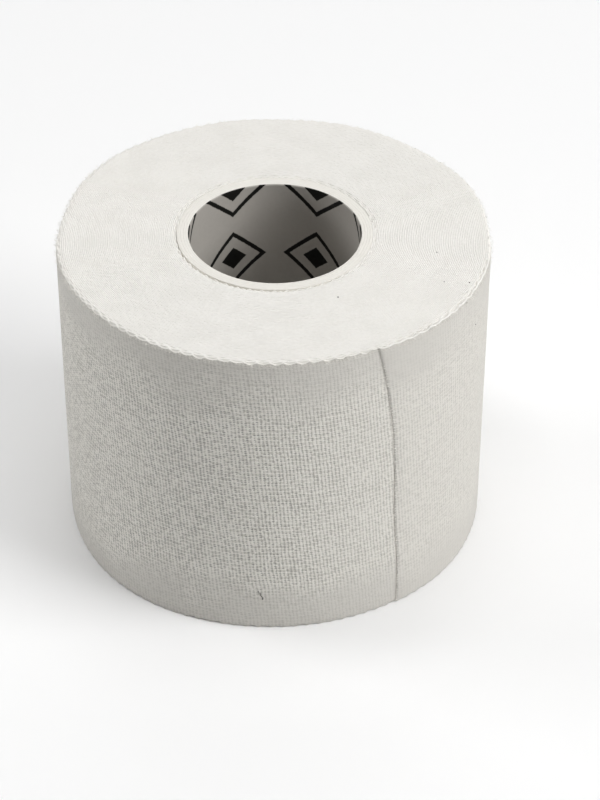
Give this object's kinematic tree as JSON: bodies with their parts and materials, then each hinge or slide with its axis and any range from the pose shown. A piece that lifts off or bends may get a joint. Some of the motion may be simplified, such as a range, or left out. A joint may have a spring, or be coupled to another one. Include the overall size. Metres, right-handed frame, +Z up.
{
  "type": "athletic tape roll",
  "caption": "Roll of white woven cotton athletic tape with pinked edges, wound in a spiral on an open paper core and standing on its end face.",
  "frame": {"origin": "centre of the face that the roll stands on", "axes": "+Z up along the roll's axis, -Y towards the viewer of the picture, +X to the viewer's right"},
  "size_m": [0.0648, 0.0647, 0.05],
  "materials": {
    "cotton_tape": "matte",
    "core_paper": "matte"
  },
  "bodies": {
    "root": {"paper_core": "core_paper", "wound_tape": "cotton_tape"}
  },
  "joints": []
}
